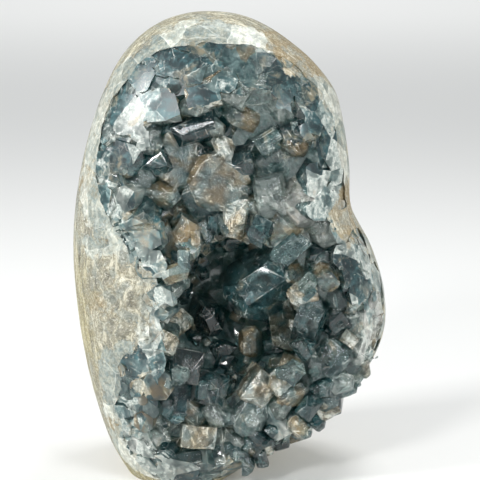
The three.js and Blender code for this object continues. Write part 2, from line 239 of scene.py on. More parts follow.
CUTS = ("ridge", "gable", "bevel")
# Three ways in which the smaller crystals grew: up to which share, and the ranges of
# the cuts
HABITS = [
    (0.4, (0.15, 0.6), (NO_CUT, NO_CUT), (NO_CUT, NO_CUT)),
    (0.65, (NO_CUT, NO_CUT), (0.3, 0.8), (NO_CUT, NO_CUT)),
    (1, (0.15, 0.6), (NO_CUT, NO_CUT), (0.66, 0.78)),
]


SCATTER = (12.9898, 78.233, 43758.5453)  # any large uneven numbers would do


def draws_for(i):
    """Repeatable scatter for item i: a function whose calls draw from given ranges."""
    by_item, by_call, spread = SCATTER
    k = 0

    def draw(limits):
        nonlocal k
        k += 1
        s = math.sin(i * by_item + k * by_call) * spread
        return limits[0] + (limits[1] - limits[0]) * (s - math.floor(s))

    return draw


def smoothstep(x, low, high):
    f = np.clip((np.asarray(x, float) - low) / (high - low), 0, 1)
    return f * f * (3 - 2 * f)


# How far the rows of bumps wander, in radians, and how fast
WANDER_X = (1.3, 0.45)
WANDER_Z = (1.1, 0.5)


def bumps(p, width):
    """Smooth bumps of about the given width, between -1 and 1, in wandering rows."""
    x, y, z = (p[..., k] / width for k in range(3))
    (far_x, fast_x), (far_z, fast_z) = WANDER_X, WANDER_Z
    across = x + far_x * np.sin(fast_x * z)
    along = z - y + far_z * np.sin(fast_z * x)
    return np.sin(across) * np.sin(along)


def section(body, t):
    """The section at each t, counted in rows, on a smooth curve through the rows."""
    rows = np.array(body.rows, float)
    turned = [0, 2, 1, 4, 3]
    before = rows[1][turned] if body.closed_below else 2 * rows[0] - rows[1]
    padded = np.vstack([before, rows, rows[-2][turned]])
    t = np.asarray(t, float)
    i = np.clip(np.floor(t).astype(int), 0, len(rows) - 2)
    f = (t - i)[..., None]
    a, b, c, d = (padded[i + k] for k in range(4))
    twist = 3 * (b - c) + d - a
    bend = 2 * a - 5 * b + 4 * c - d
    return b + 0.5 * f * ((c - a) + f * (bend + f * twist))


def middle_point(body, t):
    z, left, right = np.moveaxis(section(body, t), -1, 0)[:3]
    x = left + (right - left) * body.crest
    return np.stack([x, np.full_like(x, body.middle), z], -1)


def surface_point(body, t, angle):
    """Points on the body: t is the level in rows, angle runs round from +X to +Y."""
    _, left, right, front, back = np.moveaxis(section(body, t), -1, 0)
    p = middle_point(body, t)
    power = 2 / body.power
    across = np.sign(np.cos(angle)) * np.abs(np.cos(angle)) ** power
    along = np.sign(np.sin(angle)) * np.abs(np.sin(angle)) ** power
    p[..., 0] += across * np.where(across > 0, right - p[..., 0], p[..., 0] - left)
    p[..., 1] += along * np.where(along > 0, back - body.middle, body.middle - front)
    return p


def inward_normal(body, t, angle):
    step = 0.02  # between the points on either side, in rows and in radians
    along = surface_point(body, t, angle + step) - surface_point(body, t, angle - step)
    up = surface_point(body, t + step, angle) - surface_point(body, t - step, angle)
    n = np.cross(up, along)
    return n / np.linalg.norm(n)


def swell(p):
    rough = smoothstep(p[..., 1], *BACK) * smoothstep(p[..., 2], *FOOT)
    low = SWELLS.height * bumps(p, SWELLS.width)
    return low + rough * LUMPS.height * (bumps(p, LUMPS.width) - 1)


def knobs(p):
    coarse = KNOBS.height * bumps(p, KNOBS.width)
    return coarse + NOTCHES.height * bumps(p, NOTCHES.width)


def body_surface(body, levels, turns, grow):
    """Points and triangles of a body, moved outwards from its middle line by grow(p)."""
    last = len(body.rows) - 1
    first = 1 if body.closed_below else 0
    t = last * np.arange(first, levels) / levels
    angle = 2 * math.pi * np.arange(turns) / turns
    t2, angle2 = np.meshgrid(t, angle, indexing="ij")
    p = surface_point(body, t2, angle2)
    out = p - middle_point(body, t2)
    out /= np.linalg.norm(out, axis=-1, keepdims=True)
    p = p + out * grow(p)[..., None]
    ends = middle_point(body, np.array([0.0, last]))
    points = np.vstack([p.reshape(-1, 3), ends])
    rings = np.arange(len(t) * turns).reshape(len(t), turns)
    a, b = rings[:-1], rings[1:]
    a2, b2 = np.roll(a, -1, 1), np.roll(b, -1, 1)
    sides = np.stack([a, a2, b2, b], -1).reshape(-1, 4)
    low, high = rings[0], rings[-1]
    bottom = np.stack([np.full(turns, len(points) - 2), np.roll(low, -1), low], -1)
    top = np.stack([np.full(turns, len(points) - 1), high, np.roll(high, -1)], -1)
    return points, sides.tolist() + bottom.tolist() + top.tolist()


# What every face of the crust keeps: its tone from deep to icy, how smoky and how
# cloudy it is, how strongly it is striated, whether it is a worn edge, painted pale partly as
# a painted edge highlight, whether it is cut flush, and the direction across its striations
MARKS = {"tone": 0.5, "smoke": 0.0, "cloud": 0.6, "comb": 0.0, "edge": 0.0, "flush": 0.0}
ACROSS = (0.0, 0.0, 1.0)


def make_object(name, points, faces, across=ACROSS, **marks):
    """A mesh object from points in mm, with its marks on its faces."""
    mesh = bpy.data.meshes.new(name)
    mesh.from_pydata((np.asarray(points) * MM).tolist(), [], faces)
    count = len(mesh.polygons)
    for mark, value in {**MARKS, **marks}.items():
        attribute = mesh.attributes.new(mark, "FLOAT", "FACE")
        attribute.data.foreach_set("value", np.broadcast_to(np.float32(value), count).copy())
    attribute = mesh.attributes.new("across", "FLOAT_VECTOR", "FACE")
    attribute.data.foreach_set("vector", np.tile(np.float32(across), count))
    return bpy.data.objects.new(name, mesh)


def body_object(name, body, levels, turns, grow, **marks):
    return make_object(name, *body_surface(body, levels, turns, grow), **marks)


def combine(operation, target, operands):
    """Joins, cuts or intersects closed meshes. The operands are used up."""
    scene = bpy.context.scene
    group = bpy.data.collections.new("operands")
    scene.collection.children.link(group)
    for operand in operands:
        group.objects.link(operand)
    scene.collection.objects.link(target)
    modifier = target.modifiers.new(operation, "BOOLEAN")
    modifier.operation = operation
    modifier.solver = "MANIFOLD"
    modifier.operand_type = "COLLECTION"
    modifier.collection = group
    bpy.context.view_layer.update()
    evaluated = target.evaluated_get(bpy.context.evaluated_depsgraph_get())
    made = bpy.data.meshes.new_from_object(evaluated)
    target.modifiers.clear()
    target.data = made
    scene.collection.objects.unlink(target)
    for operand in operands:
        bpy.data.objects.remove(operand)
    bpy.data.collections.remove(group)
    return target


def drop_chips(obj):
    """Drops the loose chips of a mesh. The largest part and the hollows in it stay."""
    bm = bmesh.new()
    bm.from_mesh(obj.data)
    left = set(bm.faces)
    parts = []
    while left:
        part = {left.pop()}
        front = list(part)
        while front:
            found = {g for f in front for e in f.edges for g in e.link_faces} - part
            part |= found
            left -= found
            front = list(found)
        volume = sum(f.calc_area() * f.normal.dot(f.calc_center_median()) for f in part)
        parts.append((volume, part))
    parts.sort(key=lambda item: item[0])
    for volume, part in parts[:-1]:
        if volume > 0:
            bmesh.ops.delete(bm, geom=list(part), context="FACES")
    bm.to_mesh(obj.data)
    bm.free()


@functools.cache
def triples(count):
    """All the ways to choose three planes out of so many."""
    return np.array(list(itertools.combinations(range(count), 3)))


def corners_inside(normals, distances):
    """The corners of the space inside a set of planes."""
    chosen = triples(len(normals))
    a, d = normals[chosen], distances[chosen]
    meet = np.abs(np.linalg.det(a)) > PARALLEL
    points = np.linalg.solve(a[meet], d[meet][..., None])[..., 0]
    points = points[(points @ normals.T < distances + TINY).all(1)]
    near = np.linalg.norm(points[:, None] - points[None], axis=-1) < SAME_CORNER
    first = near.argmax(1) == np.arange(len(points))
    return points[first]


def polyhedron(normals, distances):
    """Corners and polygons of the space inside a set of planes."""
    corners = corners_inside(normals, distances)
    faces = []
    for n, d in zip(normals, distances):
        on = np.flatnonzero(np.abs(corners @ n - d) < SAME_CORNER)
        if len(on) < 3:
            continue
        middle = corners[on].mean(0)
        u = corners[on[0]] - middle
        v = np.cross(n, u)
        away = corners[on] - middle
        around = np.arctan2(away @ v, away @ u)
        faces.append(on[np.argsort(around)].tolist())
    return corners, faces


def is_closed(faces):
    """Whether every edge is shared by two faces that run along it in opposite ways."""
    edges = [(a, b) for face in faces for a, b in zip(face, face[1:] + face[:1])]
    return len(set(edges)) == len(edges) and {(b, a) for a, b in edges} == set(edges)


def crystal_planes(form):
    """The planes of one crystal with the middle of its tip at the origin, along +Z."""
    planes = [((0, 0, 1), 0), ((0, 0, -1), form["length"])]
    prism, ridge, gable = (math.radians(a) for a in (PRISM_SLOPE, RIDGE_SLOPE, GABLE_SLOPE))
    w, t = form["width"], form["thickness"]
    for side in (-1, 1):
        planes.append(((side, 0, 0), w))
        planes.append(((0, side, 0), t))
        run, reach = math.sin(ridge), math.sin(gable)
        planes.append(((0, side * run, math.cos(ridge)), form["ridge"] * t * run))
        planes.append(((side * reach, 0, math.cos(gable)), form["gable"] * w * reach))
        for other in (-1, 1):
            normal = (side * math.cos(prism), other * math.sin(prism), 0)
            planes.append((normal, form["bevel"] * w))
    planes += form.get("breaks", [])
    return np.array([n for n, _ in planes], float), np.array([d for _, d in planes], float)


# The planes that break a crystal's regular form: low facets on its tip, given by their
# tilt in degrees and their height as a share of its width, and chips off its corners
FACETS = Values(count=(2, 4), tilt=(10, 42), height=(-0.08, 0.22))
CHIPS = Values(count=(2, 3), rise=(0.3, 1.5), reach=(0.55, 0.9))


def breaks(form, r):
    """Low facets on a crystal's tip, and chips off its corners."""
    planes = []
    facets = form.get("facets", FACETS)
    for _ in range(r.randint(*facets.count)):
        tilt = math.radians(r.uniform(*facets.tilt))
        around = r.uniform(0, 2 * math.pi)
        across = math.sin(tilt)
        normal = (across * math.cos(around), across * math.sin(around), math.cos(tilt))
        planes.append((normal, form["width"] * r.uniform(*facets.height)))
    for _ in range(r.randint(*CHIPS.count)):
        around = r.uniform(0, 2 * math.pi)
        normal = Vector((math.cos(around), math.sin(around), r.uniform(*CHIPS.rise)))
        normal.normalize()
        extent = abs(normal.x) * form["width"] + abs(normal.y) * form["thickness"]
        planes.append((tuple(normal), extent * r.uniform(*CHIPS.reach)))
    return planes


def worn(points, faces, wear):
    """The polyhedron with its edges chamfered, and for each face 1 if it is a chamfer."""
    bm = bmesh.new()
    verts = [bm.verts.new(p) for p in points]
    for face in faces:
        bm.faces.new([verts[i] for i in face])
    made = bmesh.ops.bevel(
        bm, geom=bm.edges[:], offset=wear, segments=1, affect="EDGES", clamp_overlap=True
    )
    chamfers = set(made["faces"])
    bm.verts.index_update()
    points = np.array([v.co for v in bm.verts])
    faces = [[v.index for v in f.verts] for f in bm.faces]
    edge = [float(f in chamfers) for f in bm.faces]
    bm.free()
    return points, faces, edge


def frame_of(tip, direction, turn):
    """The matrix that puts a crystal's tip, growth direction and turn in place."""
    d = Vector(direction).normalized()
    rotation = Vector((0, 0, 1)).rotation_difference(d).to_matrix().to_4x4()
    return Matrix.Translation(Vector(tip)) @ rotation @ Matrix.Rotation(turn, 4, "Z")


def move(matrix, points):
    m = np.array(matrix)
    return points @ m[:3, :3].T + m[:3, 3]


class Crystals:
    """The crystals made so far, each as an object that the crust is joined from."""

    def __init__(self, seed):
        self.random = random.Random(seed)
        self.objects = []

    def draw(self, limits):
        return self.random.uniform(*limits)

    def marks_of(self, kind):
        values = [value + self.draw(KIND_SPREAD) for value in KINDS[kind]]
        return dict(zip(("tone", "smoke", "cloud", "comb"), values))

    def scattered_marks(self, root):
        near_mouth = smoothstep(-root[1], -MOUTH_DEPTH[0], -MOUTH_DEPTH[1])
        kinds = MOUTH_KINDS if self.random.random() < near_mouth else DEEP_KINDS
        return self.marks_of(self.random.choice(kinds))

    def block(self, form, place, marks, wear):
        for _ in range(MOST_TRIES):
            form = {**form, "breaks": breaks(form, self.random)}
            points, faces = polyhedron(*crystal_planes(form))
            if is_closed(faces):
                points, faces, edge = worn(points, faces, wear)
                if is_closed(faces):
                    break
        else:
            return
        across = np.array(place.to_3x3())[:, self.random.choice(LINED_AXES)]
        name = f"crystal_{len(self.objects)}"
        made = make_object(name, move(place, points), faces, across, edge=edge, **marks)
        self.objects.append(made)

    def grown(self, form, place, growth, marks):
        """A crystal with parallel blocks on it, which give its faces their steps."""
        draw = self.draw
        steps, wear = GROWTH[growth]
        self.block(form, place, marks, wear)
        for _ in range(steps):
            part = dict(form)
            part["width"] = form["width"] * draw(STEP.width)
            part["thickness"] = form["thickness"] * draw(STEP.thickness)
            x = draw((-1, 1)) * (form["width"] - part["width"]) + draw(STEP.rise)
            y = draw((-1, 1)) * (form["thickness"] - part["thickness"]) + draw(STEP.rise)
            z = draw((-STEP.back * form["length"], STEP.rise[1]))
            tone = marks["tone"] + draw(STEP.tone)
            shifted = place @ Matrix.Translation((x, y, z))
            self.block(part, shifted, {**marks, "tone": tone}, wear)


STEP = Values(
    width=(0.35, 0.75), thickness=(0.35, 0.8), rise=(-0.8, 0.8), back=0.25,
    tone=(-0.1, 0.1),
)
MOST_TRIES = 8
LINED_AXES = (0, 0, 1, 2)  # the crystal's own axes that its striations lie across
# How many blocks a crystal has on it, and how far its edges are worn, in mm
GROWTH = {
    "large": (3, 0.2),
    "wall": (3, 0.15),
    "packed": (2, 0.15),
    "ground": (1, 0.15),
    "small": (0, 0.08),
}

# What the crystals are like, by kind: tone, smoke, cloud and comb
KINDS = {
    "deep": (0.05, 0.0, 0.4, 0.1),
    "sea": (0.2, 0.0, 1.0, 0.1),
    "ribbed": (0.22, 0.0, 0.15, 1.0),
    "blue": (0.3, 0.0, 0.45, 0.3),
    "pale": (0.6, 0.0, 0.5, 0.3),
    "icy": (0.8, 0.0, 0.6, 0.5),
    "smoky": (0.45, 1.0, 0.6, 0.4),
    "tan": (0.75, 0.9, 1.0, 0.3),
    "ladder": (0.5, 0.7, 0.6, 1.0),
}
# The kinds of the large crystals, in the order of their list
LARGE_KINDS = (
    ["smoky", "smoky", "blue", "icy", "pale", "sea", "blue", "sea", "blue", "blue"]
    + ["ladder", "pale", "ribbed", "pale", "blue", "deep", "pale", "smoky", "blue", "deep"]
    + ["smoky", "ladder", "deep", "pale"]
)
# The kinds of all the others, low in the hollow and near its mouth
DEEP_KINDS = ["deep", "deep", "blue", "smoky", "smoky", "deep", "tan", "ladder"]
MOUTH_KINDS = ["blue", "pale", "blue", "blue", "deep", "smoky", "deep", "pale", "tan"]
MOUTH_DEPTH = (-8, -30)  # y from which kinds change from deep to mouth
KIND_SPREAD = (-0.12, 0.12)


def cuts(ranges, draw):
    """The cuts of a crystal's tip and edges, drawn from their ranges in this order."""
    return {name: draw(limits) for name, limits in zip(CUTS, ranges)}


def habit(draw):
    share = draw((0, 1))
    return cuts(next(h[1:] for h in HABITS if share < h[0]), draw)


def drawn_form(apart, kind, draw):
    """A form drawn from a kind's ranges, with a width that suits its distance to others."""
    size = apart * draw(kind.share)
    form = {"width": size, "thickness": size * draw(kind.thickness), "length": kind.length}
    form.update(cuts([getattr(kind, name) for name in CUTS], draw))
    return form


LEVELS_SEARCHED = 600
GRID = 9  # points along each side of a crystal when its share inside is taken


def outwardness(body, p):
    """How far out of a body points lie: 0 on its middle line, 1 on its surface."""
    steps = np.linspace(0, len(body.rows) - 1, LEVELS_SEARCHED)
    level = np.interp(p[:, 2], section(body, steps)[:, 0], steps)
    _, left, right, front, back = section(body, level).T
    middle = middle_point(body, level)
    dx, dy = p[:, 0] - middle[:, 0], p[:, 1] - middle[:, 1]
    a = np.maximum(np.where(dx > 0, right - middle[:, 0], middle[:, 0] - left), TINY)
    b = np.maximum(np.where(dy > 0, back - middle[:, 1], middle[:, 1] - front), TINY)
    power = body.power
    return ((np.abs(dx) / a) ** power + (np.abs(dy) / b) ** power) ** (1 / power)


def share_inside(form, place):
    """About which share of a crystal lies within the stone's form."""
    normals, distances = crystal_planes(form)
    steps = (np.arange(GRID) + 0.5) / GRID
    x, y, z = np.meshgrid(2 * steps - 1, 2 * steps - 1, -steps, indexing="ij")
    points = np.stack([x * form["width"], y * form["thickness"], z * form["length"]], -1)
    points = points.reshape(-1, 3)
    points = points[(points @ normals.T < distances).all(1)]
    p = move(place, points)
    return np.mean((outwardness(STONE, p) < 1) & (p[:, 2] > 0))


def before_large(p, reach):
    """Whether a crystal of this reach at a place would stand before a large one."""
    return any(
        math.hypot(p[0] - row[0], p[2] - row[2]) < LARGE_REACH * row[6] + reach
        for row in LARGE_CRYSTALS
    )


def add_large_crystals(crystals):
    for i, row in enumerate(LARGE_CRYSTALS):
        x, y, z, dx, dy, dz, width, thickness, length, turn, ridge, gable = row
        form = {"width": width, "thickness": thickness, "length": length}
        form.update(ridge=ridge, gable=gable, bevel=draws_for(i)(LARGE_BEVEL))
        form["facets"] = LARGE_FACETS
        place = frame_of((x, y, z), (dx, dy, dz), math.radians(turn))
        crystals.grown(form, place, "large", crystals.marks_of(LARGE_KINDS[i]))


def add_wall_crystals(crystals):
    taken = [np.array(row[:3], float) for row in LARGE_CRYSTALS + RIM_CURVE]
    made = []
    tried = 0
    for body, sizes in ((VOID, WALL_SIZES), (POCKET, POCKET_SIZES)):
        levels = (WALL.level[0], len(body.rows) - 1 - WALL.level[1])
        for size, most, apart in sizes:
            full = len(made) + most
            for _ in range(PLACES_TRIED):
                if len(made) == full:
                    break
                tried += 1
                draw = draws_for(tried)
                t, angle = draw(levels), draw(WALL.angle)
                root = surface_point(body, t, angle)
                if any(np.linalg.norm(q - root) < apart for q in taken):
                    continue
                if body is VOID and outwardness(POCKET, root[None])[0] < 1:
                    continue
                lean = np.array([draw(WALL.lean), draw(WALL.forward), draw(WALL.lean)])
                direction = lean + inward_normal(body, t, angle)
                direction /= np.linalg.norm(direction)
                proud = size * draw(WALL.proud)
                thickness = size * draw(WALL.thickness)
                form = {"width": size * draw(WALL.width), "thickness": thickness}
                form.update(length=proud + EMBEDDED, **habit(draw))
                place = frame_of(root + direction * proud, direction, draw(WALL.turn))
                if share_inside(form, place) < LEAST_INSIDE:
                    continue
                crystals.grown(form, place, "wall", crystals.scattered_marks(root))
                made.append(place.translation)
                taken.append(root)
    return made


def curve_point(points, f):
    """A point on the centripetal Catmull-Rom curve through the points, f from 0 to 1."""
    p = np.array(points, float)
    p = np.vstack([2 * p[0] - p[1], p, 2 * p[-1] - p[-2]])
    spans = len(points) - 1
    i = min(int(f * spans), spans - 1)
    w = f * spans - i
    a, b, c, d = p[i : i + 4]
    ta, tb, tc = (np.sqrt(np.linalg.norm(v)) for v in (b - a, c - b, d - c))
    start = ((b - a) / ta - (c - a) / (ta + tb) + (c - b) / tb) * tb
    end = ((c - b) / tb - (d - b) / (tb + tc) + (d - c) / tc) * tb
    return b + w * (start + w * (3 * (c - b) - 2 * start - end + w * (2 * (b - c) + start + end)))


def add_rim_crystals(crystals):
    middle = np.array(RIM.start, float)
    for i in range(RIM_CRYSTALS):
        draw = draws_for(i)
        tip = curve_point(RIM_CURVE, (i + 0.5) / RIM_CRYSTALS)
        lean = np.array([draw(RIM.lean), draw(RIM.forward), draw(RIM.lean)])
        out = tip - middle
        direction = out / np.linalg.norm(out) + lean
        size = draw(RIM.size)
        form = {"width": size, "thickness": size * draw(RIM.thickness), "length": RIM.length}
        form.update(habit(draw))
        place = frame_of(tip, direction, draw(RIM.turn))
        crystals.grown(form, place, "wall", crystals.scattered_marks(tip))


# In the next three tables, level says how many rows the places stay from the lowest and
# the highest, and angle is in half turns.
# The closely packed crystals between the others, outside the deep pocket
PACKED = Values(
    tries=5000, x=(-46, 60), z=(4, 158), apart=(5.4, 9.6), depth=(-25.5, -32),
    from_wall=3.5, from_pocket=0.95, share=(0.62, 0.95), thickness=(0.6, 0.95), length=20,
    ridge=(0.1, 0.85), gable=(0.1, 0.95), bevel=(0.68, 1.0), lean=(-0.65, 0.65),
    inside=0.75,
)


def add_packed_crystals(crystals, places):
    draw = crystals.draw
    taken = [(row[0], row[2], LARGE_REACH * row[6]) for row in LARGE_CRYSTALS]
    taken += [(p.x, p.z, PACKED.from_wall) for p in places]
    for _ in range(PACKED.tries):
        x, z = draw(PACKED.x), draw(PACKED.z)
        apart, y = draw(PACKED.apart), draw(PACKED.depth)
        if any(math.hypot(x - a, z - b) < 0.5 * apart + wide for a, b, wide in taken):
            continue
        root = np.array([[x, VOID.middle, z]])
        if outwardness(POCKET, root)[0] < PACKED.from_pocket:
            continue
        form = drawn_form(apart, PACKED, draw)
        direction = Vector((draw(PACKED.lean), -1, draw(PACKED.lean)))
        place = frame_of((x, y, z), direction, draw(HALF_TURN))
        if share_inside(form, place) < PACKED.inside:
            continue
        taken.append((x, z, 0.5 * apart))
        crystals.grown(form, place, "packed", crystals.scattered_marks((x, y, z)))


# The crystals that the ground surface cuts, all round the hollow's mouth: how far they
# lie apart, how far their flat tips lie below the surface, in mm, and how far out of
# the hollow, the shelf and the air they may be
GROUND = Values(
    tries=5000, level=(0.2, 0.8), angle=(0.98, 2.02), hollow=1.08, shelf=1.05, void=1.02,
    apart=(3.8, 8.4), before=0.3, share=(0.62, 0.9), thickness=(0.6, 0.95), length=14,
    ridge=(0.9, 1.8), gable=(0.9, 1.8), bevel=(0.7, 0.95),
    facets=Values(count=(1, 2), tilt=(6, 24), height=(0.02, 0.2)), below=(0.35, 1.3),
    lean=0.2, cloud=(0.1, 0.6), flush=0.3, paler=0.2, paler_from=0.7,
)
GROUND_KINDS = ["blue", "pale", "blue", "smoky", "deep", "pale", "blue", "pale", "tan"]
PALE_KINDS = ["icy", "pale", "blue", "pale"]
# Paler kinds on the polished edge low on the right: partly its crystals' own tone, partly painted
# rim light
PALE_RIM_LIT_STRIP = Values(x=43, z=92)  # the polished edge low on the right is paler


def ground_places(draw):
    """Places on the stone's front, between the hollow's edge and its mouth."""
    low, below_top = GROUND.level
    levels = (low, len(STONE.rows) - 1 - below_top)
    t = np.array([draw(levels) for _ in range(GROUND.tries)])
    angle = np.array([draw(GROUND.angle) * math.pi for _ in range(GROUND.tries)])
    p = surface_point(STONE, t, angle)
    within = outwardness(HOLLOW, p) < GROUND.hollow
    within |= outwardness(SHELF, p) < GROUND.shelf
    chosen = within & (outwardness(VOID, p) > GROUND.void)
    return zip(t[chosen], angle[chosen], p[chosen])


def add_ground_crystals(crystals):
    r, draw = crystals.random, crystals.draw
    taken = []
    for t, angle, p in ground_places(draw):
        apart = draw(GROUND.apart)
        if before_large(p, GROUND.before * apart):
            continue
        if any(np.linalg.norm(q - p) < 0.5 * apart + wide for q, wide in taken):
            continue
        taken.append((p, 0.5 * apart))
        lean = np.array([draw((-1, 1)) for _ in range(3)]) * GROUND.lean
        direction = lean - inward_normal(STONE, t, angle)
        form = drawn_form(apart, GROUND, draw)
        form["facets"] = GROUND.facets
        below = draw(GROUND.below) * direction / np.linalg.norm(direction)
        place = frame_of(p - below, direction, draw(HALF_TURN))
        # in that strip paler kinds, partly painted rim light
        pale = p[0] > PALE_RIM_LIT_STRIP.x and p[2] < PALE_RIM_LIT_STRIP.z
        marks = crystals.marks_of(r.choice(PALE_KINDS if pale else GROUND_KINDS))
        near_rim = smoothstep(outwardness(HOLLOW, p[None])[0], GROUND.paler_from, 1)
        paler = float(near_rim) * GROUND.paler
        marks.update(cloud=draw(GROUND.cloud) + paler, flush=GROUND.flush)
        marks["tone"] += paler
        crystals.grown(form, place, "ground", marks)


# The smallest crystals, in the gaps between the others
SMALL = Values(
    count=520, in_mouth=0.65, level=(0.5, 1.3), angle=(-0.12, 1.12), size=(1.2, 3.6),
    thickness=(0.5, 0.95), lean=0.8, forward=(-1.2, 0.5), proud=(0.5, 2.2), inside=0.35,
)


def add_small_crystals(crystals):
    r, draw = crystals.random, crystals.draw
    low, below_top = SMALL.level
    for _ in range(SMALL.count):
        body = VOID if r.random() < SMALL.in_mouth else POCKET
        t = draw((low, len(body.rows) - below_top))
        angle = draw(SMALL.angle) * math.pi
        root = surface_point(body, t, angle)
        if body is VOID and outwardness(POCKET, root[None])[0] < 1:
            continue
        if before_large(root, 0):
            continue
        size = draw(SMALL.size)
        lean = np.array([draw((-1, 1)), draw(SMALL.forward), draw((-1, 1))]) * SMALL.lean
        direction = inward_normal(body, t, angle) + lean
        direction /= np.linalg.norm(direction)
        proud = size * draw(SMALL.proud)
        ranges = r.choice(HABITS)[1:]
        form = {"width": size, "thickness": size * draw(SMALL.thickness)}
        form.update(length=proud + EMBEDDED, **cuts(ranges, draw))
        place = frame_of(root + direction * proud, direction, draw(HALF_TURN))
        if share_inside(form, place) < SMALL.inside:
            continue
        crystals.grown(form, place, "small", crystals.scattered_marks(root))


# The fractures in the crystals: thin flakes of air with ragged outlines. Their depth is
# how far they lie below the nearest part of the crystals, in mm.
FRACTURES = Values(count=520, radius=(0.9, 4.2), depth=(0.2, 3.5))
FLAKE = Values(corners=11, thickness=0.12, stretch=(0.35, 0.9), bend=0.06)
# Their outline as shares of the radius: its middle, three lobes and five teeth
OUTLINE = Values(middle=0.75, lobe=0.25, lobes=3, tooth=0.2, teeth=5, turn=9)
# They lie behind faces that look to the front, at such depths, and some are smoky
CRACKED = Values(facing=-0.15, y=(-36, 0))
# The flakes are painted white: partly the frosted look of a fracture, partly a painted highlight
FLAKE_MARKS = Values(tone=1.1, cloud=(0.9, 1.4), smoke=0.7, smoky=0.3)


def ragged(a, radius):
    """How far a flake reaches in the direction a, as a share of its radius."""
    lobes = OUTLINE.lobe * math.sin(OUTLINE.lobes * a + radius)
    teeth = OUTLINE.tooth * math.sin(OUTLINE.teeth * a + OUTLINE.turn * radius)
    return OUTLINE.middle + lobes + teeth


def flake(place, radius, draw):
    """A thin flake across Z, slightly bent, with a ragged outline."""
    count, thickness = FLAKE.corners, FLAKE.thickness
    stretch = draw(FLAKE.stretch)
    points = []
    for side in (-0.5, 0.5):
        for k in range(count):
            a = 2 * math.pi * k / count
            reach = radius * ragged(a, radius)
            x, y = reach * math.cos(a), reach * math.sin(a) * stretch
            points.append((x, y, side * thickness + FLAKE.bend * x * x / radius))
    points += [(0, 0, -0.5 * thickness), (0, 0, 0.5 * thickness)]
    low, high = range(count), range(count, 2 * count)
    faces = []
    for k in range(count):
        n = (k + 1) % count
        faces.append([2 * count, low[n], low[k]])
        faces.append([2 * count + 1, high[k], high[n]])
        faces.append([low[k], low[n], high[n], high[k]])
    return move(place, np.array(points)), faces


# Where fractures gather into white flashes, a painted highlight for the light off them: x, z, and
# how far they spread, in mm
GLINT_PLACES = [
    (28, 109, 9), (24, 115, 5), (28, 84, 6), (20, 78, 6), (4, 118, 5),
    (-21, 19, 5), (8, 26, 6), (17, 132, 3), (-38, 126, 7), (42, 78, 7),
    (32, 60, 5), (-9, 98, 6), (50, 70, 8), (47, 84, 6), (46, 54, 7),
]
GLINT_FLAKE = Values(count=10, radius=(0.8, 3.4), depth=(0.1, 1.2))


def is_cracked(face):
    front, back = CRACKED.y
    return face.normal.y < CRACKED.facing and front < face.center.y / MM < back


def near_glint(face, x, z, spread):
    return math.hypot(face.center.x / MM - x, face.center.z / MM - z) < spread


def fractures(crystals, crust):
    r, draw = crystals.random, crystals.draw
    polygons = [face for face in crust.data.polygons if is_cracked(face)]
    chosen = [(face, FRACTURES) for face in by_area(polygons, FRACTURES.count, r)]
    for glint in GLINT_PLACES:
        near = [face for face in polygons if near_glint(face, *glint)]
        chosen += [(face, GLINT_FLAKE) for face in by_area(near, GLINT_FLAKE.count, r)]
    flakes = []
    for face, kind in chosen:
        radius = draw(kind.radius)
        below = face.center / MM - face.normal * draw(kind.depth)
        tilt = Vector((draw((-1, 1)), -1, draw((-1, 1))))
        place = frame_of(below, tilt, draw(HALF_TURN))
        smoky = kind is FRACTURES and r.random() < FLAKE_MARKS.smoky
        # tone and cloud paint the flake white, partly as a painted highlight
        marks = {"tone": FLAKE_MARKS.tone, "cloud": draw(FLAKE_MARKS.cloud)}
        marks["smoke"] = FLAKE_MARKS.smoke if smoky else 0.0
        flakes.append(make_object(f"flake_{len(flakes)}", *flake(place, radius, draw), **marks))
    return flakes


def by_area(polygons, count, r):
    """So many polygons drawn at random, the larger ones more often."""
    return r.choices(polygons, [face.area for face in polygons], k=count) if polygons else []


BOX_INSET = 0.05
BOX_FACES = [[0, 1, 3, 2], [4, 6, 7, 5], [0, 4, 5, 1], [2, 3, 7, 6], [0, 2, 6, 4], [1, 5, 7, 3]]


def box_object(name, *sides):
    """A box between the given limits along x, y and z."""
    return make_object(name, list(itertools.product(*sides)), BOX_FACES)


def past_rim():
    """The box in which crystals may stand out of the stone's form."""
    x = (PAST_RIM.left, PAST_RIM.right)
    y = (PAST_RIM.front, PAST_RIM.back)
    return box_object("past_rim", x, y, (BASE_CLEARANCE, BASE_CLEARANCE + PAST_RIM.height))


def cad_box():
    """A box just inside the CAD's, which no crystal leaves."""
    low, high = (Vector(corner) / MM for corner in CAD_BOX)
    sides = [(low[k] + BOX_INSET, high[k] - BOX_INSET) for k in range(3)]
    return box_object("cad_box", *sides)


# How finely the forms are meshed, in levels and turns
STONE_MESH = (200, 320)
HOLLOW_MESH = (90, 150)
SHELF_MESH = (36, 60)
VOID_MESH = (54, 90)
ROOM_MESH = (110, 160)
ROCK_MESH = (60, 90)
ROUGH_WALL = Values(height=2.2, width=3.4)
GAP_DEPTH = 1.4  # how deep the gaps between the crystals at the surface are, in mm
ROCK_EXCESS = 1  # how far the rock that trims the crust stands out of the stone, in mm


def hollow_object(name, grow):
    """The hollow in the rock, with the shelf at its left."""
    parts = [
        body_object(name, body, *mesh, lambda p: knobs(p) + grow)
        for body, mesh in ((HOLLOW, HOLLOW_MESH), (SHELF, SHELF_MESH))
    ]
    return combine("UNION", parts[0], parts[1:])


def stone_object(name, mesh, shift, **marks):
    """The stone's whole form, its surface shifted outwards by so many mm."""
    return body_object(name, STONE, *mesh, lambda p: swell(p) + shift, **marks)


def rough(p):
    return ROUGH_WALL.height * bumps(p, ROUGH_WALL.width)


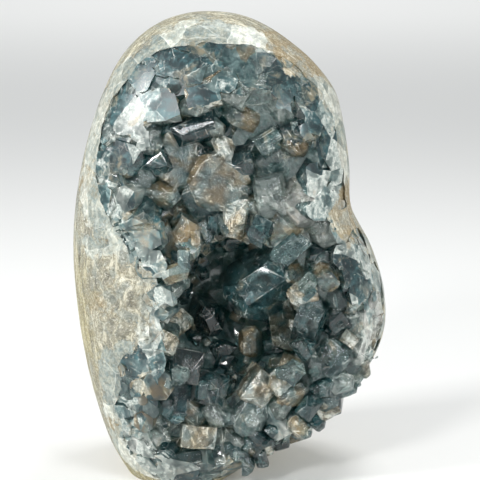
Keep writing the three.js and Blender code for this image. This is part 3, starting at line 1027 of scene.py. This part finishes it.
def hollow_wall():
    """The rough wall that the crystals stand on, cut below the ground surface."""
    wall = hollow_object("crust", CONTACT)
    bodies = (("air", VOID), ("pocket", POCKET))
    air = [body_object(name, body, *VOID_MESH, rough) for name, body in bodies]
    combine("DIFFERENCE", wall, air)
    return combine("INTERSECT", wall, [stone_object("room", ROOM_MESH, -GAP_DEPTH, flush=1.0)])


def make_crust():
    crystals = Crystals(SEED)
    add_large_crystals(crystals)
    places = add_wall_crystals(crystals)
    add_rim_crystals(crystals)
    add_packed_crystals(crystals, places)
    add_ground_crystals(crystals)
    add_small_crystals(crystals)

    crust = combine("UNION", hollow_wall(), crystals.objects)
    surface = stone_object("room", ROOM_MESH, -INSET, flush=1.0)
    room = combine("UNION", surface, [past_rim()])
    combine("INTERSECT", room, [cad_box()])
    rock = stone_object("rock", ROCK_MESH, ROCK_EXCESS)
    combine("DIFFERENCE", rock, [hollow_object("crust", CONTACT)])
    combine("INTERSECT", crust, [room])
    combine("DIFFERENCE", crust, [rock])
    drop_chips(crust)
    combine("DIFFERENCE", crust, fractures(crystals, crust))
    drop_chips(crust)
    crust.name = crust.data.name = "crystal_crust_fine"
    return crust


def make_stone():
    points, faces = body_surface(STONE, *STONE_MESH, lambda p: swell(p) - INSET)
    stone = make_object("stone_fine", roughened(points, faces), faces)
    combine("DIFFERENCE", stone, [hollow_object("hollow", 0)])
    drop_chips(stone)
    return stone


# How the stone's surface departs from its form, in mm: broken on the front beside the
# crystals and on the rough back, pitted and grainy all over
BROKEN_FRONT = Values(height=1.6, width=5, shift=0, rough=0.9, start=0.5)
BROKEN_BACK = Values(height=1.3, width=3.5, shift=7, rough=0.8, start=0.6)
LACUNARITY, OCTAVES = 2.1, 4
PITS = Values(width=5.0, radius=0.16, depth=1.0, least=0.4)
GRAIN = Values(height=0.06, scale=1.3)
FRONT_FACING = (0.55, 0.85)
FRONT_FOOT = (3, 10)
BASE_EDGE = (0, 2)


def outward_normals(points, faces):
    quads = np.array([f for f in faces if len(f) == 4])
    corners = points[quads]
    n = np.cross(corners[:, 2] - corners[:, 0], corners[:, 3] - corners[:, 1])
    total = np.zeros_like(points)
    for k in range(4):
        np.add.at(total, quads[:, k], n)
    return total / np.maximum(np.linalg.norm(total, axis=1, keepdims=True), TINY)


def broken(share, p, kind):
    place = Vector(p / kind.width + kind.shift)
    lumps = noise.fractal(place, kind.rough, LACUNARITY, OCTAVES)
    return share * kind.height * max(0, kind.start - lumps)


def roughened(points, faces):
    """The stone's points, pushed in where its surface is rough, pitted or broken."""
    normals = outward_normals(points, faces)
    front = smoothstep(-normals[:, 1], *FRONT_FACING) * smoothstep(points[:, 2], *FRONT_FOOT)
    back = smoothstep(points[:, 1], *BACK) * smoothstep(points[:, 2], *FOOT)
    depth = np.zeros(len(points))
    for i, p in enumerate(points):
        depth[i] = broken(front[i], p, BROKEN_FRONT)
        if back[i] > 0:
            depth[i] += broken(back[i], p, BROKEN_BACK)
        near = noise.voronoi(Vector(p / PITS.width))[0][0]
        hole = max(0, 1 - near / PITS.radius)
        depth[i] += PITS.depth * hole * (PITS.least + front[i] + back[i])
        depth[i] += GRAIN.height * (1 + noise.noise(Vector(p * GRAIN.scale)))
    depth *= smoothstep(points[:, 2], *BASE_EDGE)
    return points - normals * depth[:, None]


def linear(colour):
    """A colour written as in the web, as the numbers that a shader takes."""
    channels = [int(colour[i : i + 2], 16) / 255 for i in (1, 3, 5)]
    rgb = [c / 12.92 if c < 0.04045 else ((c + 0.055) / 1.055) ** 2.4 for c in channels]
    return (*rgb, 1)


class Nodes:
    """A material's node tree. An input is given as a number, a colour or a socket."""

    def __init__(self, name):
        self.material = bpy.data.materials.new(name)
        self.material.use_nodes = True
        self.tree = self.material.node_tree
        self.shader = self.tree.nodes["Principled BSDF"]
        self.output = self.tree.nodes["Material Output"]
        where = self.add("TexCoord", output="Object")
        self.place = self.vector("SCALE", where, Scale=1 / MM)

    def fill(self, socket, value):
        if isinstance(value, bpy.types.NodeSocket):
            self.tree.links.new(value, socket)
        elif isinstance(value, str):
            socket.default_value = linear(value)
        elif value is not None:
            socket.default_value = value

    def fill_named(self, node, inputs):
        for name, value in inputs.items():
            self.fill(node.inputs[name.replace("_", " ")], value)

    def add(self, kind, *inputs, output=0, **settings):
        """A node of the kind. Settings in lower case are its own, others are inputs."""
        node = self.tree.nodes.new("ShaderNode" + kind)
        named = {}
        for name, value in settings.items():
            if name[0].islower():
                setattr(node, name, value)
            else:
                named[name] = value
        for socket, value in zip(node.inputs, inputs):
            self.fill(socket, value)
        self.fill_named(node, named)
        return node.outputs[output]

    def math(self, operation, *values, clamp=False):
        return self.add("Math", *values, operation=operation, use_clamp=clamp)

    def times(self, *values):
        return self.math("MULTIPLY", *values)

    def plus(self, *values):
        return self.math("ADD", *values)

    def minus(self, *values, clamp=False):
        return self.math("SUBTRACT", *values, clamp=clamp)

    def most(self, *values):
        return self.math("MAXIMUM", *values)

    def vector(self, operation, *values, **settings):
        return self.add("VectorMath", *values, operation=operation, **settings)

    def height(self):
        """How high a point lies above the base, in mm."""
        return self.add("SeparateXYZ", self.place, output="Z")

    def mark(self, name, output="Fac"):
        return self.add("Attribute", attribute_name=name, output=output)

    def noise(self, width, detail=3, rough=0.55, distortion=0, stretch=None):
        """Noise of a width in mm, from 0 to 1."""
        where = self.vector("MULTIPLY", self.place, stretch) if stretch else self.place
        settings = {"Scale": 1 / width, "Detail": detail, "Roughness": rough}
        return self.add("TexNoise", where, output="Fac", Distortion=distortion, **settings)

    def cells(self, width, feature="F1", output="Distance", where=None):
        """A value of the cells of a width in mm, such as the distance to their edges."""
        where = where or self.place
        return self.add("TexVoronoi", where, output=output, feature=feature, Scale=1 / width)

    def warped(self, width, amount):
        """The place, shifted by noise of a width by up to an amount."""
        colour = self.add("TexNoise", self.place, output="Color", Scale=1 / width)
        shift = self.vector("SCALE", self.vector("SUBTRACT", colour, HALF), Scale=2 * amount)
        return self.vector("ADD", self.place, shift)

    def step(self, *values):
        """A smooth step of a value between two bounds, from 0 to 1 or as given."""
        if len(values) == 3:
            values += (0.0, 1.0)
        return self.add("MapRange", *values, interpolation_type="SMOOTHSTEP")

    def mix(self, factor, a, b, kind="RGBA"):
        """Two colours mixed, or with the kind FLOAT two values."""
        return self.add("Mix", Factor=factor, A=a, B=b, data_type=kind, output="Result")

    def blend(self, factor, a, b):
        return self.mix(factor, a, b, "FLOAT")

    def ramp(self, factor, stops):
        node = self.tree.nodes.new("ShaderNodeValToRGB")
        elements = node.color_ramp.elements
        while len(elements) < len(stops):
            elements.new(0.5)
        for element, (place, colour) in zip(elements, stops):
            element.position = place
            element.color = linear(colour)
        self.fill(node.inputs["Fac"], factor)
        return node.outputs["Color"]

    def bump(self, height, strength, depth, normal=None):
        sizes = {"Strength": strength, "Distance": depth * MM}
        return self.add("Bump", Height=height, Normal=normal, **sizes)

    def surface(self, **inputs):
        self.fill_named(self.shader, inputs)
        return self.material


HALF = (0.5, 0.5, 0.5)
TO_EDGE = "DISTANCE_TO_EDGE"
TONES = [(0, "#1f484f"), (0.25, "#4a7a80"), (0.5, "#8facab"), (0.75, "#c3d0ca"), (1, "#f4f6ef")]
SMOKE = "#b09c78"
FROST = [(0.36, "#7f908d"), (0.5, "#c4ccc4"), (0.64, "#f6f5ee")]
TAN_FROST = [(0.36, "#9d8e74"), (0.5, "#c8b999"), (0.64, "#eee5d0")]
# EDGE: pale of chips, cracks and outlines, on the chamfers partly a painted edge highlight
EDGE = "#eff1e8"
CUT_TONES = [(0, "#56686a"), (0.4, "#84928f"), (0.7, "#b0b7af"), (1, "#e2e4da")]
CUT_WIDTH = 14  # about how wide the cut crystals are that show in colour alone, in mm
CUT_WARP = (5, 1.0)
ABSORBED = (0.26, 0.65, 0.65, 1)
ABSORPTION = 46
CELESTITE_IOR = 1.62
LINES_PER_MM = 1.4
ROCK_GRAY = [(0.33, "#5a5a50"), (0.43, "#878577"), (0.53, "#aeaa95"), (0.68, "#e4dfcc")]
ROCK_YELLOW = [(0.33, "#665f49"), (0.45, "#958d6d"), (0.56, "#b1a983"), (0.7, "#d8d1b0")]
LAYER_LINE, STAINED, COOL = "#5a584b", "#8f7b54", "#8a9490"
DARK_GRAIN, PALE_GRAIN = "#5d5a48", "#e6e4d5"


# In the materials below, noise takes its width in mm, detail, roughness and distortion,
# and step takes a value, where it starts and ends, and what it gives before and after
def cream_rock(n):
    """Colour and grain of the rock: fine layers, granules, ochre stains. Near the hollow
    and high up it is gray and white, and low down farther off it is yellowish."""
    layered = n.noise(4, 6, 0.72, 0.8, stretch=(0.6, 1.9, 0.35))
    speckle = n.noise(0.9, 4, 0.75)
    wide = n.times(n.noise(16, 4, 0.6, 0.4), 30)
    low = n.step(n.height(), 60, 100, 1, 0.25)
    far = n.times(n.step(n.plus(n.mark("depth"), wide), -7, 0, 1, 0), low)
    blotch = n.noise(8, 6, 0.7, 0.9)
    colour = n.mix(far, n.ramp(layered, ROCK_GRAY), n.ramp(layered, ROCK_YELLOW))
    line = n.math("ABSOLUTE", n.minus(layered, 0.5))
    colour = n.mix(n.step(line, 0.004, 0.016, 0.6, 0), colour, LAYER_LINE)
    stain = n.plus(n.times(n.mark("stain"), 0.3), blotch)
    colour = n.mix(n.step(stain, 0.55, 0.82, 0, 0.75), colour, STAINED)
    cool = n.times(n.step(n.noise(6, 5, 0.6, 0.5), 0.5, 0.6, 0, 0.5), n.minus(1, far))
    colour = n.mix(cool, colour, COOL)
    colour = n.mix(n.step(speckle, 0.54, 0.64, 0, 0.7), colour, DARK_GRAIN)
    colour = n.mix(n.step(speckle, 0.36, 0.46, 0.5, 0), colour, PALE_GRAIN)
    return colour, speckle


def cut_crystals(n):
    """Where the ground surface cuts crystals: how much of it is crystal, and each
    section's tone, cloud and pale outline."""
    where = n.warped(*CUT_WARP)
    cell = n.tree.nodes.new("ShaderNodeSeparateColor")
    n.fill(cell.inputs[0], n.cells(CUT_WIDTH, output="Color", where=where))
    spread = n.times(n.minus(n.noise(9, 5, 0.65, 0.3), 0.5), 50)
    crown = n.step(n.height(), 95, 165, 0, 12)
    reach = n.plus(n.plus(n.mark("depth"), spread), crown)
    reach = n.plus(reach, n.mark("patch"))
    crystal = n.step(reach, -3.5, -1)
    tone = n.step(cell.outputs[0], 0, 1, 0.05, 0.75)
    near_rock = n.step(n.mark("depth"), 2, 11, 1.2, 0)
    cloud = n.most(near_rock, n.step(cell.outputs[1], 0, 1, 0.6, 1.1))
    outline = n.step(n.cells(CUT_WIDTH, TO_EDGE, where=where), 0.004, 0.016, 1, 0)
    return crystal, tone, cloud, outline


def cleavage(n):
    """Fine parallel lines across a crystal, from 0 to 1."""
    across = n.mark("across", "Vector")
    where = n.times(n.vector("DOT_PRODUCT", n.place, across, output="Value"), LINES_PER_MM)
    settings = {"W": where, "Detail": 6, "Roughness": 0.65}
    return n.add("TexNoise", output="Fac", noise_dimensions="1D", **settings)


def pale_parts(n, flush, outline):
    """Where crystals are pale: worn edges, which are partly a painted edge highlight, outlines
    and spots of cut ones, cracks, flecks.
    """
    wear = n.step(n.noise(4, 3), 0.45, 0.65)
    spots = n.step(n.noise(2.2, 5, 0.7, 0.5), 0.58, 0.7, 0, 0.8)
    cracks = n.step(n.cells(5, TO_EDGE, where=n.warped(3, 1.8)), 0, 0.018, 1, 0)
    flecks = n.step(n.noise(1.1, 3, 0.6), 0.66, 0.7, 0, 1)
    # chamfered edges painted pale: partly chipped wear, partly a painted edge highlight
    pale = n.most(n.times(n.mark("edge"), wear), n.times(n.times(outline, flush), wear))
    pale = n.most(pale, n.times(spots, flush))
    pale = n.most(pale, n.times(cracks, n.step(n.noise(9, 3), 0.48, 0.6)))
    return n.most(pale, n.times(flecks, n.minus(1, flush)))


def crystal_tone(n, own, veils, lines, comb):
    """A crystal's own tone, varied by veils, striations and the paler places, which are partly
    painted light and, where darker, painted shade.
    """
    tone = n.plus(own, n.step(veils, 0.3, 0.7, -0.16, 0.16))
    tone = n.plus(tone, n.times(n.times(n.minus(lines, 0.5), comb), 1.2))
    # the pale field: partly own tone, partly painted light near the rim and painted shade deep in
    # the hollow
    return n.plus(tone, n.times(n.mark("pale"), 0.45))


def smoke_and_stain(n, veils):
    stain = n.plus(n.times(n.mark("stain"), 0.15), n.noise(8, 4, 0.6, 0.7))
    stain = n.step(stain, 0.52, 0.74, 0, 0.7)
    smoke = n.times(n.mark("smoke"), n.step(n.noise(7), 0.35, 0.65))
    return n.most(smoke, n.times(stain, n.step(veils, 0.4, 0.6))), stain


def frost_on(n, cloud, tone):
    """Where a crystal is frosted white inside: more where it is cloudy and pale."""
    least = n.minus(0.67, n.times(cloud, n.step(tone, 0, 0.6, 0.04, 0.2)))
    return n.step(n.noise(4.5, 8, 0.68, 1.0), least, n.plus(least, 0.1))


def clearness(n, milky, pale, bare):
    clear = n.minus(1, n.times(milky, 0.75), clamp=True)
    clear = n.minus(clear, n.times(pale, 0.35), clamp=True)
    return n.times(clear, n.minus(1, bare))


def celestite_material():
    n = Nodes("celestite")
    flush = n.mark("flush")
    crystal, cut_tone, cut_cloud, outline = cut_crystals(n)
    bare = n.times(flush, n.minus(1, crystal))
    pale = pale_parts(n, flush, outline)
    veils = n.noise(4, 6, 0.7, 0.6)
    lines = cleavage(n)
    comb = n.times(n.mark("comb"), n.minus(1, flush))
    tone = crystal_tone(n, n.blend(flush, n.mark("tone"), cut_tone), veils, lines, comb)
    smoke, stain = smoke_and_stain(n, veils)
    # the pale field also clouds the crystals, partly as painted light, and clears them where it
    # paints shade
    cloud = n.plus(n.blend(flush, n.mark("cloud"), cut_cloud), n.times(n.mark("pale"), 0.4))
    frost = frost_on(n, cloud, tone)
    fine = n.noise(0.9, 4, 0.78)
    frosted = n.mix(smoke, n.ramp(fine, FROST), n.ramp(fine, TAN_FROST))
    rock, grain = cream_rock(n)
    colour = n.mix(smoke, n.ramp(tone, TONES), SMOKE)
    colour = n.mix(n.times(frost, 0.85), colour, frosted)
    # the pale parts in EDGE white, on the chamfers partly a painted edge highlight
    colour = n.mix(n.times(pale, 0.6), colour, EDGE)
    colour = n.mix(bare, colour, rock)
    milky = n.times(cloud, n.step(veils, 0.35, 0.7, 0.2, 0.8))
    milky = n.most(n.most(milky, stain), frost)
    clear = clearness(n, milky, pale, bare)
    rough = n.plus(n.step(flush, 0, 0.4, 0.05, 0.32), n.times(milky, 0.12))
    rough = n.blend(bare, rough, 0.5)
    normal = n.bump(n.times(lines, comb), 0.8, 0.5)
    normal = n.bump(n.noise(1.2, 4), 0.3, 0.12, normal)
    normal = n.bump(n.times(grain, bare), 0.6, 0.5, normal)
    absorption = n.add("VolumeAbsorption", ABSORBED, ABSORPTION)
    n.tree.links.new(absorption, n.output.inputs["Volume"])
    n.surface(Base_Color=colour, Transmission_Weight=clear, Roughness=rough)
    return n.surface(IOR=CELESTITE_IOR, Normal=normal)


def facets(n, width):
    """The height of flat facets that are tilted at random, one to a cell."""
    where = n.warped(*CUT_WARP)
    away = n.vector("SUBTRACT", where, n.cells(width, output="Position", where=where))
    tilt = n.vector("SUBTRACT", n.cells(width, output="Color", where=where), HALF)
    return n.vector("DOT_PRODUCT", away, tilt, output="Value")


def rock_material():
    n = Nodes("matrix_rock")
    crystal, tone, _, outline = cut_crystals(n)
    colour, grain = cream_rock(n)
    veils = n.step(n.noise(3, 6, 0.7, 0.6), 0.35, 0.65, -0.1, 0.45)
    cut = n.ramp(n.plus(tone, veils), CUT_TONES)
    cut = n.mix(n.times(outline, 0.4), cut, EDGE)
    shown = n.times(crystal, n.step(n.noise(1.6, 5, 0.7), 0.38, 0.56, 0.9, 0.45))
    rough = n.blend(crystal, n.step(grain, 0.3, 0.7, 0.45, 0.75), 0.42)
    normal = n.bump(facets(n, 9), n.times(crystal, 0.9), 0.5)
    normal = n.bump(n.times(grain, n.minus(1, crystal)), 0.8, 0.6, normal)
    return n.surface(Base_Color=n.mix(shown, colour, cut), Roughness=rough, Normal=normal)


# Stains on the front: x, z, radius in mm and strength, ochre or brown
OCHRE = [
    (-41.8, 22, 6, 1), (-49, 71, 6, 0.7), (-38, 82, 8, 0.3), (-52, 114, 6, 0.9),
    (-44, 145, 5, 0.8), (-40, 122, 6, 0.9), (-13, 166, 6, 0.8), (21, 164, 10, 1),
    (31, 157, 7, 0.9), (45, 108, 8, 1), (45, 94, 7, 0.9), (-14, 155, 5, 0.8),
    (-30, 100, 7, 0.6), (30, 150, 6, 0.6), (-18, 100, 10, 1.2), (-8, 91, 9, 1.2),
    (-30, 104, 7, 1.2), (0, 9, 8, 1), (-14, 7, 6, 0.8),
]
# Where the crystals are paler than elsewhere, and, with negative strength, darker: partly their
# own tone, partly painted light towards the lit rim and painted shade deep in the hollow's middle
PALE_AND_PAINTED_LIGHT = [
    (55, 82, 8, 0.8), (57, 66, 10, 1), (53, 50, 9, 0.8), (28, 109, 10, 0.5),
    (-27, 142, 12, 0.3), (-31, 118, 8, 0.4), (24, 22, 6, 0.6), (-20, 36, 9, -0.4),
    (-30, 20, 10, 0.25), (16, 76, 14, 0.15), (-6, 60, 10, -0.6), (22, 58, 8, -0.4),
    (6, 42, 9, -0.3),
]
# Where more crystals show in the rock than its depth gives, and where fewer do
PATCHES = [
    (-43, 48, 9, 16), (-44, 32, 9, 16), (-40, 14, 9, 16), (-28, 3, 12, 22),
    (-46, 104, 12, 12), (-50, 88, 8, 8), (-38, 76, 12, -14), (24, 162, 10, -26),
    (46, 104, 9, -26),
]


FIELD_EDGE = 1.3  # radii from a place at which its bump ends
FIELD_BACK = 5  # y behind which the fields don't reach


def front_field(points, places):
    """The sum at each point of bumps at places on the front: x, z, radius, strength."""
    total = np.zeros(len(points))
    for x, z, radius, strength in places:
        away = np.hypot(points[:, 0] - x, points[:, 2] - z) / radius
        total += strength * np.clip(FIELD_EDGE - away, 0, 1)
    return np.where(points[:, 1] < FIELD_BACK, total, 0)


# How many mm one step of outwardness is worth on the hollow's surface, the height above
# which the depth falls off upwards instead, and how much of it a mm upwards takes
HOLLOW_REACH = 35
HOLLOW_TOP = 163
FALL = 0.7


def mark_points(mesh):
    """Keeps on each point about how far inside the hollow's form it lies, in mm, what
    the patches add to that, how stained it is, and how pale, partly as painted light and shade."""
    points = np.empty(len(mesh.vertices) * 3)
    mesh.vertices.foreach_get("co", points)
    points = points.reshape(-1, 3) / MM
    places = {"stain": OCHRE, "patch": PATCHES, "pale": PALE_AND_PAINTED_LIGHT}
    fields = {name: front_field(points, rows) for name, rows in places.items()}
    above = np.maximum(points[:, 2] - HOLLOW_TOP, 0)
    points[:, 2] -= above
    depth = (1 - outwardness(HOLLOW, points)) * HOLLOW_REACH - FALL * above
    fields["depth"] = np.clip(depth, -HOLLOW_REACH, HOLLOW_REACH)
    for name, values in fields.items():
        attribute = mesh.attributes.new(name, "FLOAT", "POINT")
        attribute.data.foreach_set("value", values.astype(np.float32))


SHARP_ANGLE = 22


def add_piece(obj, material, node):
    bpy.context.scene.collection.objects.link(obj)
    mark_points(obj.data)
    obj.data.materials.clear()
    obj.data.materials.append(material)
    obj.data.set_sharp_from_angle(angle=math.radians(SHARP_ANGLE))
    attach(obj, "root")
    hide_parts(node)


# The photograph's viewing angle
TARGET = Vector((0.0044, 0, 0.0897))
DISTANCE = 0.616
ELEVATION = 12
LENS, SENSOR = 120, 36  # in mm
NEAREST = 0.01  # what lies nearer to the camera isn't drawn, in m


def add_camera():
    data = bpy.data.cameras.new("camera")
    data.lens = LENS
    data.sensor_width = SENSOR
    data.clip_start = NEAREST
    camera = bpy.data.objects.new("camera", data)
    bpy.context.scene.collection.objects.link(camera)
    e = math.radians(ELEVATION)
    back = Vector((0, -math.cos(e), math.sin(e)))
    camera.location = TARGET + back * DISTANCE
    camera.rotation_euler = (-back).to_track_quat("-Z", "Y").to_euler()
    bpy.context.scene.camera = camera


# Soft square lights that look at the target: name, place and size in m, power in W
LIGHTS = [
    ("key", (-0.86, -0.34, 0.66), 0.22, 7.5),
    ("second", (-0.5, -0.85, 0.66), 0.22, 5),
    ("fill", (0.6, -0.6, 0.35), 0.3, 4),
    ("top", (0.2, 0.15, 0.85), 0.3, 3),
    ("far_floor", (0, 3, 2.2), 3, 22),
]
FAR_SPREAD = 100  # degrees, of the last light, which looks straight down instead
SKY = ("#dfe3e6", 0.5)
FLOOR = Values(reach=6000, colour="#ececea", rough=0.9)  # its reach is in mm


def add_light(name, place, size, energy):
    data = bpy.data.lights.new(name, "AREA")
    data.size = size
    data.energy = energy
    light = bpy.data.objects.new(name, data)
    light.location = place
    light.rotation_euler = (TARGET - Vector(place)).to_track_quat("-Z", "Y").to_euler()
    bpy.context.scene.collection.objects.link(light)
    return light


def add_studio():
    world = bpy.data.worlds.new("studio")
    world.use_nodes = True
    inputs = world.node_tree.nodes["Background"].inputs
    inputs["Color"].default_value = linear(SKY[0])
    inputs["Strength"].default_value = SKY[1]
    bpy.context.scene.world = world
    *_, far = [add_light(*row) for row in LIGHTS]
    far.rotation_euler = (0, 0, 0)
    far.data.spread = math.radians(FAR_SPREAD)
    r = FLOOR.reach
    floor = make_object("floor", [(-r, -r, 0), (r, -r, 0), (r, r, 0), (-r, r, 0)], [[0, 1, 2, 3]])
    matte = Nodes("floor").surface(Base_Color=FLOOR.colour, Roughness=FLOOR.rough)
    floor.data.materials.append(matte)
    bpy.context.scene.collection.objects.link(floor)


add_camera()
add_studio()
bpy.context.scene.view_settings.view_transform = "Standard"
crust = make_crust()
stone = make_stone()
add_piece(crust, celestite_material(), "crystal_crust")
add_piece(stone, rock_material(), "stone")
